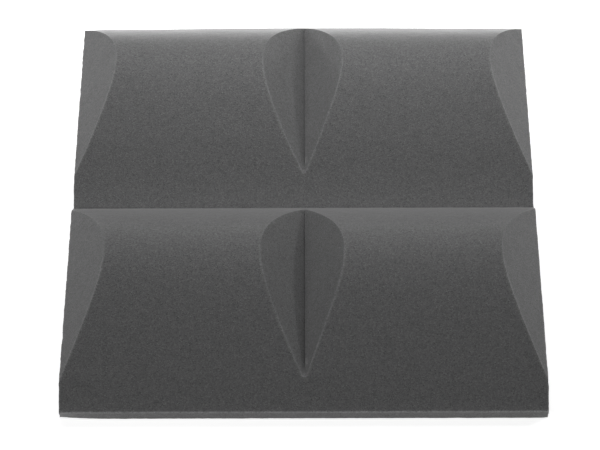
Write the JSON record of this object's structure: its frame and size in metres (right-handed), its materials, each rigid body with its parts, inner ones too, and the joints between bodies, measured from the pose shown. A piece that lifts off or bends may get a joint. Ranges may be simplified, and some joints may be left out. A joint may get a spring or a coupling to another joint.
{
  "type": "acoustic foam panel",
  "caption": "Square acoustic foam wall tile with two cross rows of sloping rounded ridges cut by V grooves, and stick-on pads with liners on its flat back.",
  "frame": {"origin": "middle of the tile in the plane it lies or is stuck on, under the release liners", "axes": "+Z out of the wall through the shaped face, -Y towards the thin edge where the ramps start, X along the rows"},
  "size_m": [0.3048, 0.3048, 0.046],
  "materials": {
    "foam": "matte",
    "pad_tape": "matte",
    "liner_paper": "satin"
  },
  "bodies": {
    "root": {"foam_panel": "foam", "fixing_pad_front_left": "pad_tape", "fixing_pad_front_right": "pad_tape", "fixing_pad_back_left": "pad_tape", "fixing_pad_back_right": "pad_tape", "release_liner_front_left": "liner_paper", "release_liner_front_right": "liner_paper", "release_liner_back_left": "liner_paper", "release_liner_back_right": "liner_paper"}
  },
  "joints": []
}
